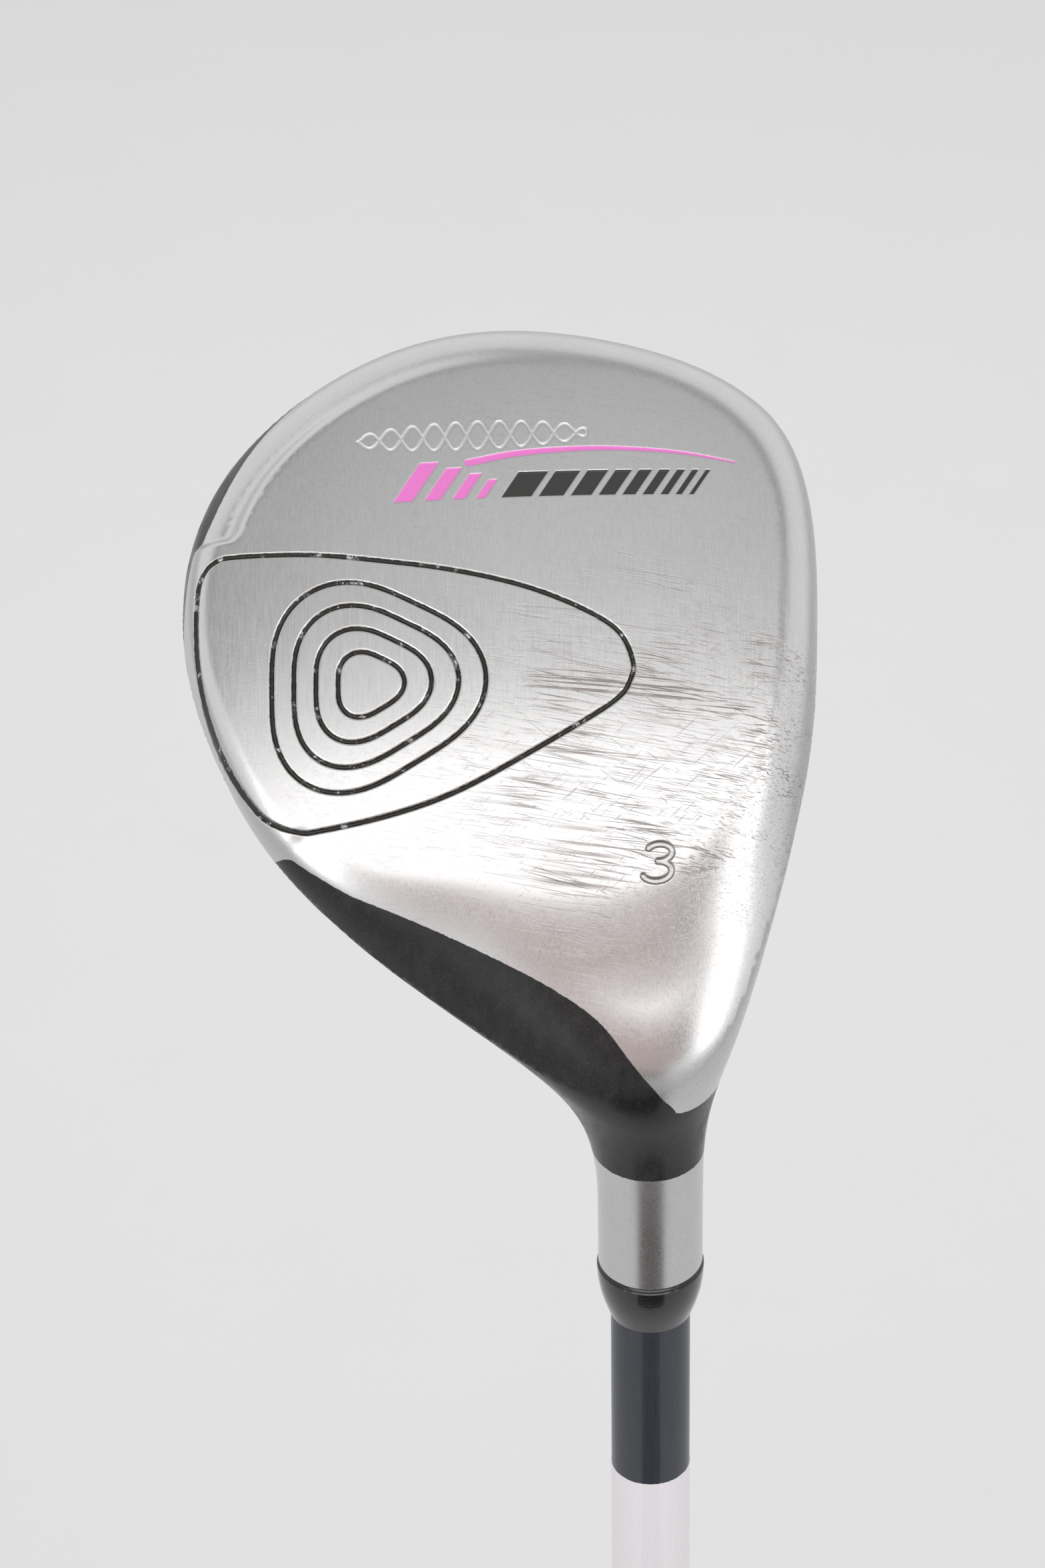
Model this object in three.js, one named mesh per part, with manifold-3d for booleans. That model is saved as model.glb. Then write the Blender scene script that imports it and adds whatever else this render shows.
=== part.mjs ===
// A ladies' right-handed 3-wood: a hollow steel head bonded to a tapered graphite shaft with a
// rubber grip. Units are millimetres. The shaft's axis is Z, from the butt of the grip at the
// origin up to the head. X is forward, the way the face points, and the toe leans towards Y.

import * as THREE from "three";
import { mergeVertices } from "three/addons/utils/BufferGeometryUtils.js";
import Module from "manifold-3d";

const wasm = await Module();
wasm.setup();

// The whole club
const CLUB_LENGTH = 1067; // butt to the point where the shaft's axis meets the ground, 42 in
const LIE = 57; // degrees between the ground and the shaft
const LOFT = 15; // degrees that the face leans back

// The head's outline seen along the ground's normal: radii about CENTRE, evenly spaced from
// straight ahead round by the toe, the back and the heel. The other lists run round it likewise.
const CENTRE = { forward: -18, toe: 33, height: 14 };
const OUTLINE_RADII = [
  39.2, 43.1, 47.9, 47.3, 46.8, 45.4, 43.2, 39.6, 35.6, 33.6, 34.1, 36.5, 42, 46.2, 44.6, 40.3,
];
const WAIST_HEIGHTS = [7, 9.5, 13, 14.5, 13, 10, 13, 9]; // heights of the widest line
const SKIRT_UNDER = [0.3, 0.28, 0.25, 0.28, 0.15, 0.1, 0.7, 0.5]; // draw-in per height below it
const SKIRT_OVER = 0.3; // and above it
const RIM_ROUNDING = [4, 4, 4, 3, 2.5, 4, 13, 11];

// The head's surfaces
const SOLE = { lowForward: -4, lowToe: 34, radiusAcross: 150, radiusAlong: 210 };
const BEVEL = {
  bands: [4.8, 5, 5.6, 5, 1.6, 1.6, 4, 4.8], // widths round the sole's edge
  slopes: [0.42, 0.42, 0.42, 0.42, 0.38, 0.3, 0, 0.15],
  rounding: 1.4,
};
const CROWN = {
  back: 22.5, rise: 14, stepForward: -11, stepWidth: 6, radiusAcross: 80, slope: 0.85,
};
const FACE = { leadingEdge: 23.2, leadingHeight: 4, middleToe: 40, bulge: 300, roll: 300 };
const ROUNDING = { topLine: 2.5, crown: 5 };

// The lower ledge round the back of the toe, which ends where the sole's raised middle starts
const LEDGE = { drop: 2.2, inner: 7, outer: 4, from: 112, to: 160, soft: 12, toeEnd: 50.5 };

// Walls and plates
const WALL = { sole: 2.2, skirt: 1.3, crown: 1, face: 2.6 };
const NO_WALL = { sole: 0, skirt: 0, crown: 0, face: 0 };
const JOINT_GAP = 0.3; // weld gap round a plate
const CROWN_OPENING = { share: 0.86, front: 6, floor: 15.5 };
const FACE_OPENING = { halfWidth: 28, bottom: 6.5, top: 28.5, corner: 7, back: 8 };

// The hosel: distances are along the shaft from where its axis meets the ground
const HOSEL = { radius: 6.25, end: 51.6, flareStart: 33, boreRadius: 4.9, boreEnd: 17.5 };
const NECK = { root: 11, flare: 3, flareAt: 23, flareWidth: 4, rootRounding: 6, blend: 19 };

// Ferrule, shaft and bond
const FERRULE = { length: 7.6, topRadius: 6.4, bottomRadius: 5 };
const TIP = { radius: 4.6, end: 20, boreRadius: 2.4, boreLength: 60 };
const SHAFT = { frontRadius: 4.78, parallel: 45, buttRadius: 7.5, buttBore: 5.9, buttStart: 8 };
const BOND = { inner: 4.65, outer: 4.85, start: 21, end: 50.5 };
const PIN = { headRadius: 4.4, headLength: 1.2, stemRadius: 2.2, stemLength: 24 };

// Grip
const GRIP = { length: 266, buttRadius: 12.4, mouthRadius: 8.4 };
const TAPE = { thickness: 0.25, start: 9, end: 262 };
const CAP = { thickness: 6, radius: 15.2, vent: 1.6 };
const SLIP = 0.05; // clearance between concentric layers

// Facets
const ROUND_SIDES = 32;
const HEAD_SIDES = 64;
const HEAD_RINGS = 32;
const CAVITY_SIDES = 44;
const CAVITY_RINGS = 22;
const MARCH_STEP = 1.5;
const HEAD_FLATNESS = 0.38; // height of the head's facet pattern to its width

const COLOURS = {
  steel: { color: 0xb9b9ba, roughness: 0.32, metalness: 1 },
  crownPaint: { color: 0x1b1b1e, roughness: 0.2, metalness: 0.3 },
  ferrule: { color: 0x0b0b0c, roughness: 0.15, metalness: 0 },
  shaft: { color: 0xdedce0, roughness: 0.25, metalness: 0 },
  brass: { color: 0xb08d4c, roughness: 0.4, metalness: 1 },
  epoxy: { color: 0xb9b39a, roughness: 0.5, metalness: 0 },
  tape: { color: 0xcdbf98, roughness: 0.9, metalness: 0 },
  rubber: { color: 0x1d1d1f, roughness: 0.85, metalness: 0 },
};

const radians = (degrees) => (degrees * Math.PI) / 180;

// Helpers for solids

function toSolid(geometry) {
  const bare = geometry.clone();
  bare.deleteAttribute("normal");
  bare.deleteAttribute("uv");
  const merged = mergeVertices(bare, 1e-4);
  const mesh = new wasm.Mesh({
    numProp: 3,
    vertProperties: new Float32Array(merged.attributes.position.array),
    triVerts: new Uint32Array(merged.index.array),
  });
  mesh.merge();
  return new wasm.Manifold(mesh);
}

function toGeometry(manifold) {
  const mesh = manifold.getMesh();
  const geometry = new THREE.BufferGeometry();
  geometry.setAttribute("position", new THREE.BufferAttribute(mesh.vertProperties, 3));
  geometry.setIndex(new THREE.BufferAttribute(mesh.triVerts, 1));
  geometry.computeVertexNormals();
  return geometry;
}

/** A solid of revolution about Z from [radius, z] corners that run round it in either sense. */
function turned(corners, sides = ROUND_SIDES) {
  let area = 0;
  corners.forEach(([radius, z], i) => {
    const [nextRadius, nextZ] = corners[(i + 1) % corners.length];
    area += radius * nextZ - nextRadius * z;
  });
  const ordered = area < 0 ? corners : [...corners].reverse();
  const closed = [...ordered, ordered[0]];
  const profile = closed.map(([radius, z]) => new THREE.Vector2(radius, -z));
  return new THREE.LatheGeometry(profile, sides).rotateX(-Math.PI / 2);
}

function named(name, geometry, look) {
  const mesh = new THREE.Mesh(geometry, new THREE.MeshStandardMaterial(COLOURS[look]));
  mesh.name = name;
  return mesh;
}

// The head's outer surface. A point is [forward, toe, height], with height above the ground when
// the club is soled, and each surface's value is negative inside the head.

/** The smooth curve through values spaced evenly round the outline, read at an angle. */
function around(values, angle) {
  const count = values.length;
  return values.reduce((sum, value, i) => {
    const away = angle - (2 * Math.PI * i) / count;
    if (Math.abs(Math.sin(away / 2)) < 1e-9) return sum + value;
    return sum + (value * Math.sin((count / 2) * away)) / (count * Math.tan(away / 2));
  }, 0);
}

function smoothStep(low, high, x) {
  const share = Math.min(1, Math.max(0, (x - low) / (high - low)));
  return share * share * (3 - 2 * share);
}

/** The larger of two distances, with the corner between them rounded. */
function roundedMax(a, b, rounding) {
  const overlap = Math.max(0, rounding - Math.abs(a - b)) / rounding;
  return Math.max(a, b) + (overlap * overlap * rounding) / 4;
}

function roundedMin(a, b, rounding) {
  return -roundedMax(-a, -b, rounding);
}

/** Where a point lies on the plan of the head: its direction and its distance in from the edge. */
function polar(forward, toe) {
  const x = forward - CENTRE.forward;
  const y = toe - CENTRE.toe;
  const angle = Math.atan2(y, x);
  return [angle, around(OUTLINE_RADII, angle) - Math.hypot(x, y)];
}

function ledgeDepth(toe, angle, inward) {
  const degrees = ((angle * 180) / Math.PI + 360) % 360;
  const round = smoothStep(LEDGE.from - LEDGE.soft, LEDGE.from + LEDGE.soft, degrees) *
    (1 - smoothStep(LEDGE.to - LEDGE.soft, LEDGE.to + LEDGE.soft, degrees));
  const across = smoothStep(LEDGE.inner, LEDGE.outer, inward);
  return LEDGE.drop * round * across * smoothStep(LEDGE.toeEnd - 1, LEDGE.toeEnd + 1, toe);
}

function soleHeight(forward, toe, angle, inward) {
  const camber = (toe - SOLE.lowToe) ** 2 / (2 * SOLE.radiusAcross) +
    (forward - SOLE.lowForward) ** 2 / (2 * SOLE.radiusAlong);
  const band = roundedMax(around(BEVEL.bands, angle) - inward, 0, BEVEL.rounding);
  return camber + ledgeDepth(toe, angle, inward) + band * around(BEVEL.slopes, angle);
}

function crownHeight(forward, toe) {
  const ridge = 1 / (1 + Math.exp((CROWN.stepForward - forward) / CROWN.stepWidth));
  const fall = (toe - CENTRE.toe) ** 2 / (2 * CROWN.radiusAcross);
  return CROWN.back + CROWN.rise * ridge - fall * (0.3 + 0.7 * ridge);
}

function faceForward(toe, height) {
  const aboveEdge = height - FACE.leadingHeight;
  return FACE.leadingEdge - aboveEdge * Math.tan(radians(LOFT)) -
    (toe - FACE.middleToe) ** 2 / (2 * FACE.bulge) - aboveEdge ** 2 / (2 * FACE.roll);
}

/** The crown, face and skirt, each moved in by its wall. */
function sidesField([forward, toe, height], angle, inward, wall) {
  const waist = around(WAIST_HEIGHTS, angle);
  const under = Math.max(0, waist - height) * around(SKIRT_UNDER, angle);
  const over = Math.max(0, height - waist) * SKIRT_OVER;
  const skirt = wall.skirt - inward + under + over;
  const crown = (height - crownHeight(forward, toe) + wall.crown) * CROWN.slope;
  const face = (forward - faceForward(toe, height)) * Math.cos(radians(LOFT)) + wall.face;
  const upper = roundedMax(crown, face, ROUNDING.topLine);
  return roundedMax(upper, skirt, ROUNDING.crown);
}

/** The flared root of the hosel. */
function neckField([forward, toe, height]) {
  const along = -toe * Math.cos(radians(LIE)) + height * Math.sin(radians(LIE));
  const across = toe * Math.sin(radians(LIE)) + height * Math.cos(radians(LIE));
  const share = 1 / (1 + Math.exp((along - NECK.flareAt) / NECK.flareWidth));
  const side = Math.hypot(forward, across) - HOSEL.radius - NECK.flare * share;
  const root = roundedMax(side, NECK.root - along, NECK.rootRounding);
  return Math.max(root, along - HOSEL.flareStart);
}

function closedBySole(sides, [forward, toe, height], angle, inward, wall) {
  const sole = soleHeight(forward, toe, angle, inward) - height + wall.sole;
  return roundedMax(sides, sole, around(RIM_ROUNDING, angle));
}

/** Distance outside the solid head with its neck, near enough. */
function outerField(point) {
  const [angle, inward] = polar(point[0], point[1]);
  const sides = sidesField(point, angle, inward, NO_WALL);
  const withNeck = roundedMin(sides, neckField(point), NECK.blend);
  return closedBySole(withNeck, point, angle, inward, NO_WALL);
}

/** Distance outside the cavity, near enough. */
function cavityField(point) {
  const [angle, inward] = polar(point[0], point[1]);
  const sides = sidesField(point, angle, inward, WALL);
  return closedBySole(sides, point, angle, inward, WALL);
}

/** Carries points from the head's own directions to the club's: toe up along the lie angle. */
function headToClub(geometry) {
  return geometry.rotateX(radians(90 - LIE));
}

/** The point at a distance along a ray from CENTRE. */
function alongRay(ray, distance) {
  return [
    CENTRE.forward + ray.x * distance,
    CENTRE.toe + ray.y * distance,
    CENTRE.height - ray.z * distance,
  ];
}

/** How far a ray from CENTRE runs before it first leaves a field's inside. */
function exitDistance(field, ray) {
  let outside = MARCH_STEP;
  while (field(alongRay(ray, outside)) < 0) outside += MARCH_STEP;
  let inside = outside - MARCH_STEP;
  for (let i = 0; i < 20; i++) {
    const middle = (inside + outside) / 2;
    if (field(alongRay(ray, middle)) < 0) inside = middle;
    else outside = middle;
  }
  return inside;
}

/** A closed mesh of a field's surface, found along rays from CENTRE. */
function fieldShape(field, sides, rings) {
  const geometry = new THREE.SphereGeometry(1, sides, rings).rotateX(Math.PI / 2);
  const points = geometry.attributes.position;
  const ray = new THREE.Vector3();
  for (let i = 0; i < points.count; i++) {
    ray.fromBufferAttribute(points, i);
    ray.z *= HEAD_FLATNESS;
    ray.normalize();
    const [forward, toe, height] = alongRay(ray, exitDistance(field, ray));
    points.setXYZ(i, forward, toe, -height);
  }
  return headToClub(geometry);
}

/** A prism through the crown inside its weld line, shrunk by the gap for the plate itself. */
function crownPrism(gap) {
  const shape = new THREE.Shape();
  for (let i = 0; i < 48; i++) {
    const angle = (i / 48) * 2 * Math.PI;
    const radius = around(OUTLINE_RADII, angle) * CROWN_OPENING.share - gap;
    const forward = Math.min(
      CENTRE.forward + radius * Math.cos(angle),
      CROWN_OPENING.front - gap,
    );
    const toe = CENTRE.toe + radius * Math.sin(angle);
    if (i === 0) shape.moveTo(forward, toe);
    else shape.lineTo(forward, toe);
  }
  const prism = new THREE.ExtrudeGeometry(shape, { depth: 40, bevelEnabled: false });
  prism.translate(0, 0, -CROWN_OPENING.floor - 40);
  return headToClub(prism);
}

/** A prism through the face inside its weld line, with rounded corners. */
function facePrism(gap) {
  const width = FACE_OPENING.halfWidth - gap;
  const low = FACE_OPENING.bottom + gap;
  const high = FACE_OPENING.top - gap;
  const corner = FACE_OPENING.corner - gap;
  const right = -FACE.middleToe + width - corner;
  const left = -FACE.middleToe - width + corner;
  const shape = new THREE.Shape();
  shape.absarc(right, low + corner, corner, -Math.PI / 2, 0);
  shape.absarc(right, high - corner, corner, 0, Math.PI / 2);
  shape.absarc(left, high - corner, corner, Math.PI / 2, Math.PI);
  shape.absarc(left, low + corner, corner, Math.PI, 1.5 * Math.PI);
  const options = { depth: 40, bevelEnabled: false, curveSegments: 5 };
  const prism = new THREE.ExtrudeGeometry(shape, options);
  // The shape's x runs from the toe to the heel and its y is the height; the prism runs forward.
  prism.applyMatrix4(new THREE.Matrix4().set(
    0, 0, 1, FACE_OPENING.back,
    -1, 0, 0, 0,
    0, -1, 0, 0,
    0, 0, 0, 1,
  ));
  return headToClub(prism);
}

/** The hosel and its neck, widened all round by extra, as the outside only. */
function neckShape(extra) {
  const corners = [
    [0, 10 - extra],
    [4 + extra, 11.5],
    [6.4 + extra, 14],
    [7.3 + extra, 18],
    [7.2 + extra, 22],
    [6.8 + extra, 27],
    [HOSEL.radius + extra, HOSEL.flareStart],
    [HOSEL.radius + extra, HOSEL.end],
    [0, HOSEL.end],
  ];
  return turned(corners.map(([radius, along]) => [radius, -along]));
}

function hoselBore() {
  return turned([
    [0, -HOSEL.boreEnd],
    [HOSEL.boreRadius, -HOSEL.boreEnd],
    [HOSEL.boreRadius, -HOSEL.end - 5],
    [0, -HOSEL.end - 5],
  ]);
}

function headPieces() {
  const outer = toSolid(fieldShape(outerField, HEAD_SIDES, HEAD_RINGS));
  const cavity = toSolid(fieldShape(cavityField, CAVITY_SIDES, CAVITY_RINGS));
  const shell = outer.subtract(cavity);
  const neck = toSolid(neckShape(0));
  const casting = shell
    .subtract(toSolid(crownPrism(0)))
    .subtract(toSolid(facePrism(0)))
    .add(neck)
    .subtract(toSolid(hoselBore()));
  const crown = shell
    .intersect(toSolid(crownPrism(JOINT_GAP)))
    .subtract(toSolid(neckShape(JOINT_GAP)));
  const face = shell.intersect(toSolid(facePrism(JOINT_GAP)));
  return [
    named("head_casting", toGeometry(casting), "steel"),
    named("crown_plate", toGeometry(crown), "crownPaint"),
    named("face_plate", toGeometry(face), "steel"),
  ];
}

// Shaft and what is bonded to it. Their z runs down from where the shaft's axis meets the ground.

/** The shaft's outside radius at a distance below that point, parallel and then tapering. */
function shaftRadius(along) {
  const start = HOSEL.end + SHAFT.parallel;
  const share = Math.max(0, along - start) / (CLUB_LENGTH - start);
  return SHAFT.frontRadius + (SHAFT.buttRadius - SHAFT.frontRadius) * share;
}

function ferrule() {
  const top = -HOSEL.end - SLIP;
  const bottom = top - FERRULE.length;
  const bore = TIP.radius + SLIP;
  return turned([
    [bore, top],
    [FERRULE.topRadius, top],
    [FERRULE.topRadius, top - 1.6],
    [6, top - 4],
    [5.5, top - 6],
    [FERRULE.bottomRadius, bottom],
    [bore, bottom],
  ]);
}

function shaft() {
  const step = HOSEL.end + FERRULE.length + 3 * SLIP;
  const butt = CLUB_LENGTH - SHAFT.buttStart;
  const outside = [TIP.end, step, step, HOSEL.end + SHAFT.parallel, butt];
  const corners = outside.map((along, i) => [i < 2 ? TIP.radius : shaftRadius(along), -along]);
  corners.push([SHAFT.buttBore, -butt]);
  corners.push([TIP.boreRadius, -TIP.end - TIP.boreLength]);
  corners.push([TIP.boreRadius, -TIP.end]);
  return turned(corners);
}

function bond() {
  return turned([
    [BOND.inner, -BOND.start],
    [BOND.outer, -BOND.start],
    [BOND.outer, -BOND.end],
    [BOND.inner, -BOND.end],
  ]);
}

function tipPin() {
  const seat = -TIP.end + SLIP;
  return turned([
    [0, seat + PIN.headLength],
    [PIN.headRadius, seat + PIN.headLength],
    [PIN.headRadius, seat],
    [PIN.stemRadius, seat],
    [PIN.stemRadius, seat - PIN.stemLength],
    [0, seat - PIN.stemLength],
  ]);
}

// Grip: z runs up from the butt.

function tape() {
  const outside = (z) => shaftRadius(CLUB_LENGTH - z) + SLIP;
  return turned([
    [outside(TAPE.start), TAPE.start],
    [outside(TAPE.start) + TAPE.thickness, TAPE.start],
    [outside(TAPE.end) + TAPE.thickness, TAPE.end],
    [outside(TAPE.end), TAPE.end],
  ]);
}

function gripSleeve() {
  const inside = (z) => shaftRadius(CLUB_LENGTH - z) + TAPE.thickness + 2 * SLIP;
  return turned([
    [inside(CAP.thickness), CAP.thickness + SLIP],
    [CAP.radius, CAP.thickness + SLIP],
    [14.2, CAP.thickness + 3],
    [GRIP.buttRadius, CAP.thickness + 10],
    [10.6, 130],
    [GRIP.mouthRadius, GRIP.length - 6],
    [GRIP.mouthRadius - 0.6, GRIP.length],
    [inside(GRIP.length), GRIP.length],
  ]);
}

function gripCap() {
  return turned([
    [CAP.vent, 0],
    [CAP.radius - 2.6, 0],
    [CAP.radius - 0.7, 1],
    [CAP.radius, 3],
    [CAP.radius, CAP.thickness],
    [CAP.vent, CAP.thickness],
  ]);
}

const head = new THREE.Group();
head.position.z = CLUB_LENGTH;
head.add(...headPieces());
head.add(named("ferrule", ferrule(), "ferrule"));
head.add(named("shaft", shaft(), "shaft"));
head.add(named("epoxy_bond", bond(), "epoxy"));
head.add(named("tip_weight_pin", tipPin(), "brass"));

const handle = new THREE.Group();
handle.add(named("grip_tape", tape(), "tape"));
handle.add(named("grip_sleeve", gripSleeve(), "rubber"));
handle.add(named("grip_cap", gripCap(), "rubber"));

const club = new THREE.Group();
club.add(head, handle);
export default club;
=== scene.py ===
"""A fairway wood standing head up: the detailed shapes, materials and studio around its CAD frame.

Lengths are in millimetres until a mesh is made. The head is modelled in head coordinates: u forward to
the face, t towards the toe, h up from the ground at address, with the origin where the shaft axis meets
the ground. The club stands in the row frame with its shaft axis along Z and the head at the top.
"""
import math

import bmesh
import bpy
import numpy as np
from mathutils import Matrix, Vector
from mathutils.kdtree import KDTree


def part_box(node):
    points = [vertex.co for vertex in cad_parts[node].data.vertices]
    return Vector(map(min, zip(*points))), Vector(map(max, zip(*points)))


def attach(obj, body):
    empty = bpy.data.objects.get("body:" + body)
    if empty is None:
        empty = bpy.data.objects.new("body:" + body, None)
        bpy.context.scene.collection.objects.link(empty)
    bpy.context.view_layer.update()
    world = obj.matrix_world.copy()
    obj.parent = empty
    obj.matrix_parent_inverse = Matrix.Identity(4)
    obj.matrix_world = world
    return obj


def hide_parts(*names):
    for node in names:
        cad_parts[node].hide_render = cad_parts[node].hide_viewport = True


MM = 0.001

LIE = math.radians(57)
LOFT = math.radians(15)

# The head's outline seen from below: 16 radii about CENTRE, from straight ahead round by the toe.
CENTRE = (-18.0, 33.0)
OUTLINE_RADII = [39.2, 43.1, 47.9, 47.3, 46.8, 45.4, 43.2, 39.6,
                 35.6, 33.6, 34.1, 36.5, 42.0, 45.2, 43.5, 40.2]
# Its section, in the same order: 8 or 16 values round the full turn.
WAIST_HEIGHTS = [7.0, 9.5, 13.0, 14.5, 13.0, 10.0, 13.0, 9.0]
SKIRT_UNDER = [0.30, 0.30, 0.28, 0.25, 0.25, 0.25, 0.28, 0.22,
               0.15, 0.10, 0.10, 0.40, 0.70, 0.70, 0.50, 0.35]
RIM_ROUNDING = [4.0, 4.0, 4.0, 4.0, 4.0, 3.5, 3.0, 2.8, 2.5, 2.8, 4.0, 6.0, 8.0, 8.0, 8.0, 6.0]
LEDGE_DROP = [0.0, 0.0, 0.4, 2.2, 2.2, 0.3, 0.0, 0.0]
LEDGE_EDGE = [5.0, 5.5, 6.8, 6.0, 5.0, 4.5, 6.5, 6.0]
LEDGE_SLOPE = 1.5
BEVEL_BAND = [4.8, 4.8, 5.0, 5.2, 5.6, 5.8, 5.0, 2.5, 1.6, 1.4, 1.6, 3.0, 4.0, 4.5, 4.8, 4.8]
BEVEL_SLOPES = [0.42] * 7 + [0.40, 0.38, 0.38, 0.30, 0.12, 0.0, 0.0, 0.15, 0.40]
BEVEL_ROUNDING = 1.4
PLATEAU = dict(toe=50.5, soft=1.3, front=120.0, heel=222.0, heel_soft=3.0)
SKIRT_OVER = 0.30
SOLE = dict(low_forward=-4.0, low_toe=34.0, across=150.0, along=210.0)
CROWN = dict(back=22.5, rise=14.0, step_at=-11.0, step_width=6.0, across=80.0, slope=0.85, back_share=0.3)
FACE = dict(edge=23.2, edge_height=4.0, middle=40.0, bulge=300.0, roll=300.0)
TOP_LINE = 2.5
CROWN_ROUNDING = 5.0
NECK = dict(
    radius=6.25, root=11.0, root_rounding=6.0, flare=3.0, flare_at=23.0, flare_width=4.0, lean=1.2,
    blend=19.0,
)
SOLID = dict(sole=0.0, skirt=0.0, crown=0.0, face=0.0)
WALL = dict(sole=2.2, skirt=1.3, crown=1.0, face=2.6)
HEAD_LOW = (-58.0, -44.0, -3.0)
HEAD_HIGH = (25.0, 83.0, 57.0)
OUTER_STEP = 1.0
CAVITY_STEP = 1.6

# The hosel's end, its bore and the bonded joint below it, measured down the shaft axis.
HOSEL_END = 51.6
HOSEL_STUB = 54.5
SEAT_GAP = 0.05
BORE_RADIUS = 4.9
BORE_END = 17.5


def around(values, angle):
    """Evenly spaced values round a full turn, joined by a smooth periodic curve."""
    count = len(values)
    waves = np.fft.rfft(values) / count
    waves[1:] *= 2
    waves[-1] /= 2
    return np.polyval(waves[::-1], np.exp(1j * angle)).real


def smooth_step(low, high, value):
    share = np.clip((value - low) / (high - low), 0, 1)
    return share ** 3 * (10 - 15 * share + 6 * share ** 2)


def rounded_max(first, second, rounding):
    overlap = np.maximum(0, rounding - np.abs(first - second)) / rounding
    return np.maximum(first, second) + overlap ** 2 * rounding / 4


def rounded_min(first, second, rounding):
    return -rounded_max(-first, -second, rounding)


def sole_height(u, t, angle, inward):
    """The sole's camber, its bevelled rim, and the ledge that leaves its middle raised."""
    camber = (t - SOLE["low_toe"]) ** 2 / (2 * SOLE["across"])
    camber = camber + (u - SOLE["low_forward"]) ** 2 / (2 * SOLE["along"])
    turn = np.degrees(angle) % 360
    plateau = smooth_step(PLATEAU["toe"] + PLATEAU["soft"], PLATEAU["toe"] - PLATEAU["soft"], t)
    plateau = plateau * smooth_step(
        PLATEAU["heel"] + PLATEAU["heel_soft"], PLATEAU["heel"] - PLATEAU["heel_soft"], turn
    )
    plateau = plateau * (turn > PLATEAU["front"])
    edge = around(LEDGE_EDGE, angle)
    drop = np.maximum(0, around(LEDGE_DROP, angle))
    ledge = drop * smooth_step(edge + LEDGE_SLOPE, edge - LEDGE_SLOPE, inward)
    bevel = rounded_max(around(BEVEL_BAND, angle) - inward, 0, BEVEL_ROUNDING) * around(BEVEL_SLOPES, angle)
    return camber + ledge * (1 - plateau) + bevel


def crown_height(u, t):
    ridge = 1 / (1 + np.exp((CROWN["step_at"] - u) / CROWN["step_width"]))
    fall = (t - CENTRE[1]) ** 2 / (2 * CROWN["across"])
    share = CROWN["back_share"] + (1 - CROWN["back_share"]) * ridge
    return CROWN["back"] + CROWN["rise"] * ridge - fall * share


def face_forward(t, h):
    above = h - FACE["edge_height"]
    bulge = (t - FACE["middle"]) ** 2 / (2 * FACE["bulge"])
    return FACE["edge"] - above * math.tan(LOFT) - bulge - above ** 2 / (2 * FACE["roll"])


def down_shaft(t, h):
    return -t * math.cos(LIE) + h * math.sin(LIE)


def neck_field(u, t, h):
    along = down_shaft(t, h)
    share = 1 / (1 + np.exp((along - NECK["flare_at"]) / NECK["flare_width"]))
    off_axis = np.hypot(u + NECK["lean"] * share, t * math.sin(LIE) + h * math.cos(LIE))
    side = off_axis - NECK["radius"] - NECK["flare"] * share
    return rounded_max(side, NECK["root"] - along, NECK["root_rounding"])


def polar(u, t):
    forward = u - CENTRE[0]
    toeward = t - CENTRE[1]
    angle = np.arctan2(toeward, forward)
    return angle, around(OUTLINE_RADII, angle) - np.hypot(forward, toeward)


def sides_field(u, t, h, angle, inward, wall):
    """The crown, face and skirt together: below zero inside. Each side moves in by its own wall."""
    waist = around(WAIST_HEIGHTS, angle)
    under = np.maximum(0, waist - h) * around(SKIRT_UNDER, angle)
    skirt = wall["skirt"] - inward + under + np.maximum(0, h - waist) * SKIRT_OVER
    crown = (h - crown_height(u, t) + wall["crown"]) * CROWN["slope"]
    face = (u - face_forward(t, h)) * math.cos(LOFT) + wall["face"]
    upper = rounded_max(crown, face, TOP_LINE)
    return rounded_max(upper, skirt, CROWN_ROUNDING)


def close_sole(sides, u, t, h, angle, inward, wall):
    sole = sole_height(u, t, angle, inward) - h + wall["sole"]
    return rounded_max(sides, sole, around(RIM_ROUNDING, angle))


def head_field(points):
    u, t, h = np.moveaxis(points, -1, 0)
    angle, inward = polar(u, t)
    sides = sides_field(u, t, h, angle, inward, SOLID)
    with_neck = rounded_min(sides, neck_field(u, t, h), NECK["blend"])
    head = close_sole(with_neck, u, t, h, angle, inward, SOLID)
    return np.maximum(head, down_shaft(t, h) - HOSEL_STUB)


def cavity_field(points):
    u, t, h = np.moveaxis(points, -1, 0)
    angle, inward = polar(u, t)
    sides = sides_field(u, t, h, angle, inward, WALL)
    return close_sole(sides, u, t, h, angle, inward, WALL)


# ---------------------------------------------------------------- surfaces from fields

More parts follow.
